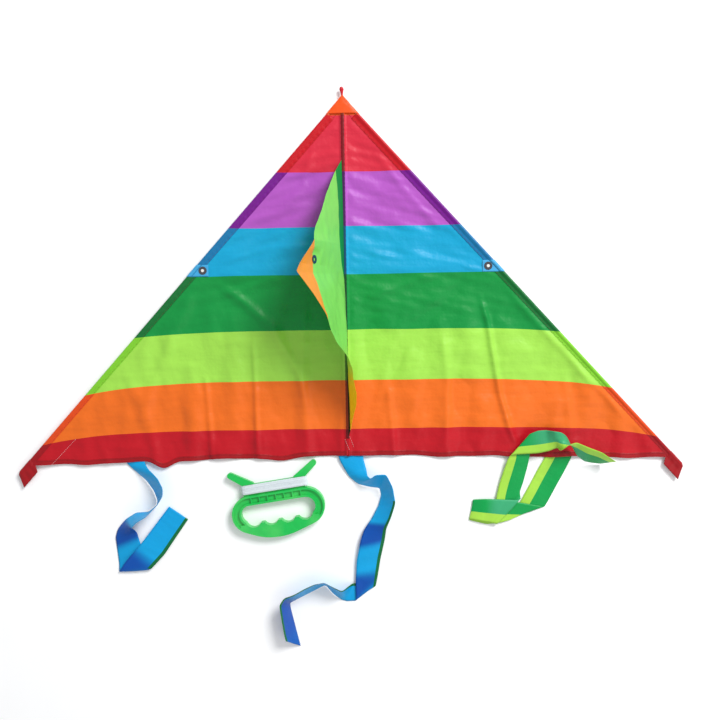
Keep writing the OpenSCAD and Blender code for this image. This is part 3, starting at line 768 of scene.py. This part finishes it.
# Keel
keel = {
    "front": 93.0, "rear": 502.0, "point": 260.0, "depth": 144.0, "root": 2.9,
    "lean": [              # how far aft, mm, and the lean to the left there, degrees
        (93, 42), (115, 36), (130, 31), (148, 27.5), (172, 25), (197, 23.5), (206, 22.8), (217, 20.5),
        (232, 22.5), (250, 24.6), (262, 24.4), (274, 21.5), (298, 16.5), (320, 12), (343, 10.5), (360, 6),
        (379, -3), (395, -8), (410, -12), (433, -20), (450, -24), (471, -27), (502, -28),
    ],
}


def keelSheet():
    # rows at one height: from the front edge to the rear edge, leaning by an angle that changes along the kite
    h = np.linspace(0, 1, 90)[:, None]
    a = np.linspace(0, 1, 180)[None, :]
    height = keel["root"] + (keel["depth"] - keel["root"]) * h
    lo = keel["front"] + (keel["point"] - keel["front"]) * h
    hi = keel["rear"] + (keel["point"] - keel["rear"]) * h
    d = lo + (hi - lo) * a
    lean = np.interp(d, *zip(*keel["lean"]))
    eyelet = np.exp(-(((d - 243) / 13) ** 2 + ((height - 94) / 13) ** 2) ** 2)
    lean = lean * (1 - eyelet) + 25 * eyelet
    ripples = 0.7 * waves(d, height, 21, 60) + 0.25 * waves(d, height, 22, 22)
    bulge = (1 - eyelet) * ripples * smooth(height / 25)
    bulge = bulge + 4.5 * np.exp(-((height - 20) / 13) ** 2) * smooth((d - 270) / 30) * smooth((410 - d) / 60)
    th = np.radians(lean)
    x = -height * np.sin(th) + bulge * np.cos(th)
    z = kite["planeZ"] + height * np.cos(th) + bulge * np.sin(th)
    uvs = {"cloth": np.stack([d * 1e-3, height * 1e-3 + 0 * d], -1)}
    faces = gridFaces(90, 180, flip=True)
    return thicken(meshObject("keel_cloth", np.stack([x, d, z], -1), faces, keelTaffeta, uvs), 0.16)


keelCloth = keelSheet()
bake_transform(keelCloth)
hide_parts("keel_panel")
print("keel made")

# Spine sleeve, nose
def spineSleeveStrip():
    # a tube round the spine rod, rippled by 0.04 mm
    d = np.linspace(18, 523, 200)[:, None]
    a = np.linspace(0, 1, 48, endpoint=False)[None, :]
    ang = 2 * np.pi * a
    r = kite["tubeR"] + 0.04 * np.sin(d * 0.7) + 0 * a
    x = r * np.cos(ang)
    z = kite["planeZ"] + r * np.sin(ang)
    d = d + 0 * a
    uvs = {"cloth": np.stack([x * 1e-3, d * 1e-3], -1), "seams": np.stack([0 * x + 0.2, 0 * x + 0.1], -1)}
    faces = gridFaces(200, 48, wrapV=True)
    return meshObject("spine_sleeve_cloth", np.stack([x, d, z], -1), faces, foldedTaffeta, uvs)


spineCloth = spineSleeveStrip()
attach(spineCloth, "spine")
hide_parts("spine_sleeve")


def spineTape():
    # a narrow binding over the spine's fold: width 4.6 mm, on the sail's height plus 0.3 mm,
    # puckered by its stitches
    d = np.linspace(20, 504, 260)[:, None]
    a = np.linspace(-1, 1, 9)[None, :]
    x = 2.3 * a + 0.15 * np.sin(d * 0.9)
    z = sailHeight(x, d + 0 * a) + 0.3 + 0.1 * np.sin(d * 1.6) * np.abs(a)
    d = d + 0 * a
    faces = gridFaces(260, 9, flip=True)
    return thicken(meshObject("spine_tape", np.stack([x, d, z], -1), faces, boundTaffeta, seamUvs(x, d)), 0.12)


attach(spineTape(), "spine")


# Loose tacking at the rear of the spine: two pale threads
tacks = [lineRow((3, 502), (9, 518), 0.5), lineRow((-4, 506), (2, 521), 0.5)]
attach(stitches("tail_tacking", tacks, threadPale), "spine")


def noseFold():
    # a flattened cone of folded cloth: half-width grows along the leading edges, half-height from the tube,
    # with gathers round it and a closed rear lip
    d = np.linspace(-0.5, 26.6, 70)[:, None]
    a = np.linspace(0, 2 * np.pi, 64, endpoint=False)[None, :]
    halfW = 1.3 + np.maximum(d, 0) * (sinE / cosE) * 0.97
    halfH = (1.7 + 1.5 * smooth(d / 14)) * (1 - 0.9 * smooth((d - 25.2) / 1.4))
    ripple = 1 + 0.05 * np.sin(7 * a + d * 0.3) * smooth((20 - d) / 12)
    x = halfW * np.sign(np.cos(a)) * np.abs(np.cos(a)) ** 0.8 * ripple
    z = kite["planeZ"] + 0.4 + halfH * np.sign(np.sin(a)) * np.abs(np.sin(a)) ** 0.7 * ripple
    faces = gridFaces(70, 64, wrapV=True)
    return meshObject("nose_fold_cloth", np.stack([x, d + 0 * a, z], -1), faces, noseTaffeta)


def noseBud():
    # a gathered bud: radius by distance along it, thin at the neck and full at the end, with pleats
    t = np.linspace(0, 1, 50)[:, None]
    a = np.linspace(0, 2 * np.pi, 48, endpoint=False)[None, :]
    along = 1.0 - 14.5 * t
    outline = np.interp(t, [0, 0.18, 0.4, 0.7, 0.9, 1.0], [1.9, 1.3, 1.9, 3.0, 2.4, 0.05])
    radius = outline * (1 + 0.09 * np.sin(9 * a) * smooth((1 - t) / 0.3))
    x = -1.0 * t + radius * np.cos(a)
    z = kite["planeZ"] + radius * 0.85 * np.sin(a)
    faces = gridFaces(50, 48, wrapV=True, flip=True)
    return meshObject("nose_bud_cloth", np.stack([x, along + 0 * a, z], -1), faces, budTaffeta)


for piece, node in ((noseFold(), "nose_patch"), (noseBud(), "nose_tip")):
    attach(piece, "spine")
    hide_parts(node)
print("spine sleeve and nose made")

# Tails
# Stations along each ribbon: the place of one edge, then of the other, as x, d, z
tails = {
    "left": [
        [-334, 526, 2.2, -306, 526, 2.2], [-334, 538, 2, -306, 537, 4.5], [-322, 549, 2, -297, 546, 17],
        [-305, 564, 2, -281, 558, 27], [-294, 580, 2, -274, 571, 30], [-289, 594, 2, -274, 583, 32],
        [-290, 602, 2, -280, 594, 35], [-303, 612, 2, -297, 612, 36], [-322, 613, 2, -313, 621, 34],
        [-338, 623, 2, -322, 631, 28], [-350, 637, 2, -322, 634, 20], [-354, 650, 2, -320, 642, 8],
        [-352, 672, 1, -316, 660, 3], [-350, 692, 1, -313, 684, 3], [-350, 704, 2, -308, 702, 3],
        [-349, 702, 6, -305, 700, 6], [-338, 686, 7, -300, 698, 6], [-313, 658, 6, -280, 677, 4],
        [-292, 631, 4, -262, 651, 3], [-271, 604, 3, -243, 624, 2],
    ],
    "centre": [
        [-15, 526, 4.2, 22, 526, 4.2], [-14, 535, 4.6, 22.5, 535, 5], [-8, 547, 4, 27, 552, 8],
        [1, 563, 2, 28, 559, 17], [14, 574, 2, 33, 562, 25], [30, 578, 2, 40, 556, 28],
        [46, 580, 3, 56, 556, 27], [48, 590, 3, 66, 576, 26], [44, 606, 3, 69, 598, 26],
        [34, 625, 4, 62, 622, 22], [22, 642, 6, 55, 640, 12], [16, 659, 8, 53, 656, 5],
        [10, 690, 6, 46, 686, 4], [8, 722, 5, 41, 714, 4], [8, 750, 4, 38, 729, 4],
        [8, 751.5, 1, 37, 731, 1], [-6, 752, 1, 4, 724, 2], [-14, 750, 1, -12, 729, 27],
        [-26, 741, 1, -26, 722, 30], [-38, 727, 1, -38, 714, 33], [-52, 734, 1, -52, 717, 31],
        [-70, 743, 1, -68, 725, 30], [-84, 750, 1, -84, 733, 30], [-92, 754, 1, -98, 738, 29],
        [-91, 762, 1, -105, 749, 28], [-87, 779, 1, -102, 774, 30], [-82, 800, 1, -99, 792, 28],
        [-77, 821, 1, -97, 805, 24],
    ],
    "right": [
        [335, 526, 2.4, 294, 526, 2.4], [332, 538, 2.6, 293, 538, 2.6], [322, 558, 2.6, 286, 549, 2.6],
        [312, 576, 2, 280, 560, 2], [298, 602, 1.5, 266, 586, 1.5], [292, 612, 1.5, 240, 632, 1.5],
        [291, 611, 3.6, 239, 631, 3.6], [242, 602, 3.4, 226, 634.5, 3.4], [212, 602, 2.5, 206, 637, 2],
        [184, 600, 1.5, 178, 630, 1.5], [186, 599, 4, 180, 628, 4], [205, 598, 6.4, 200, 632, 6.2],
        [256, 600, 6.8, 222, 636, 6.8], [256, 597, 5, 220, 630, 5], [255, 588, 5, 219, 602, 5],
        [260, 574, 5, 224, 578, 5], [266, 552, 6, 231, 556, 6], [270, 531, 9.5, 236, 541, 9.5],
        [268, 503, 11, 240, 533, 10], [268, 500, 17, 241, 531, 14], [280, 495, 19, 282, 529, 14],
        [292, 494, 21, 298, 526, 14], [303, 495, 31, 310, 521, 14], [313.5, 497, 25, 311.5, 525, 20],
        [323, 504, 15, 314, 522, 32], [331, 520, 13, 323, 513, 38], [338, 533, 12, 334, 511, 32],
        [350, 543, 8, 353, 520, 32], [362, 546, 4, 372, 527, 30], [376, 548, 2, 392, 541, 28],
    ],
}


def tailRibbon(name, sections, material, width, soften):
    # both edges resampled by length and smoothed by a short Gaussian,
    # then straight rulings between them with a slight curl
    p = np.array(sections, float)
    edges = np.stack([p[:, :3], p[:, 3:]], 1)
    step = np.linalg.norm(np.diff(edges.mean(1), axis=0), axis=1)
    step = np.maximum(step, np.linalg.norm(np.diff(edges, axis=0), axis=2).mean(1) * 0.6)
    along = np.r_[0, np.cumsum(step)]
    fine = np.arange(0, along[-1], 1.0)
    def eachLine(make):
        # make(e, c) for both edges and all three coordinates
        return np.stack([np.stack([make(e, c) for c in range(3)], -1) for e in range(2)], 1)

    dense = eachLine(lambda e, c: np.interp(fine, along, edges[:, e, c]))
    reach = int(soften * 3)
    kernel = np.exp(-0.5 * (np.arange(-reach, reach + 1) / soften) ** 2)
    kernel /= kernel.sum()
    first = 2 * dense[:1] - dense[1:reach + 1][::-1]
    last = 2 * dense[-1:] - dense[-reach - 1:-1][::-1]
    padded = np.concatenate([first, dense, last])
    soft = eachLine(lambda e, c: np.convolve(padded[:, e, c], kernel, "valid"))
    keep = np.linspace(0, len(soft) - 1, int(len(soft) / 1.6)).round().astype(int)
    soft, fine = soft[keep], fine[keep]
    t = np.linspace(0, 1, 13)
    body = soft[:, None, 0] * (1 - t)[None, :, None] + soft[:, None, 1] * t[None, :, None]
    ahead = np.gradient(body.mean(1), axis=0)
    normal = np.cross(soft[:, 1] - soft[:, 0], ahead)
    normal /= np.linalg.norm(normal, axis=1)[:, None] + 1e-9
    curl = 0.9 * np.sin(np.pi * t)[None, :] * np.sin(fine / 23.0)[:, None]
    flutter = 0.35 * np.sin(fine / 7.0)[:, None] * (t * t)[None, :]
    body = body + normal[:, None] * (curl + flutter)[..., None]
    body[..., 2] = np.maximum(body[..., 2], 0.35)
    uv = np.stack(np.broadcast_arrays(t[None] * width * 1e-3, fine[:, None] * 1e-3), -1)
    obj = meshObject(name, body, gridFaces(len(body), 13), material, {"cloth": uv})
    cells = np.cross(np.diff(body, axis=0)[:, :-1], np.diff(body, axis=1)[:-1])
    area = float(np.linalg.norm(cells, axis=2).sum()) * 1e-6
    print(name, "mm2", round(area * 1e6), "length mm", round(float(fine[-1])))
    return thicken(obj, 0.18), area


roots = {                  # the body each is sewn to, its slot and its seam's middle in x, m
    "left": ("left_wing", "tail_blue", -0.32),
    "centre": ("spine", "tail_blue", 0.003),
    "right": ("right_wing", "tail_green", 0.312),
}
for tag, (parent, slotName, rootX) in roots.items():
    ribbon, area = tailRibbon(tag + "_tail_ribbon", tails[tag], ribbons[tag], 36, 2.2)
    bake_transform(ribbon)
    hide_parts(tag + "_tail")
print("tails made")

# Hard parts carried over from the CAD
rods = ("spine_rod", "left_leading_spar", "right_leading_spar", "spreader_rod")
caps = ("spine_rear_cap", "left_spar_cap", "right_spar_cap")
rings = ("left_wing_eyelet", "right_wing_eyelet", "tow_eyelet",
         "left_eyelet_washer", "right_eyelet_washer", "tow_washer")
hard = {
    **dict.fromkeys(rods, fibreglass), **dict.fromkeys(caps, vinyl), **dict.fromkeys(rings, gunmetalSteel),
    "left_spreader_fitting": nylon, "right_spreader_fitting": nylon, "winder_handle": polypropylene,
}
for nodeName, material in hard.items():
    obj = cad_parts[nodeName]
    for i in range(len(obj.material_slots)):
        obj.material_slots[i].material = material
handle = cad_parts["winder_handle"]
weld = handle.modifiers.new("join", "WELD")
weld.merge_threshold = 0.00002
rounded = handle.modifiers.new("moulded edges", "BEVEL")
rounded.width, rounded.segments = 0.0007, 3
rounded.limit_method, rounded.angle_limit = "ANGLE", math.radians(40)
rounded.use_clamp_overlap = True
print("hard parts finished")
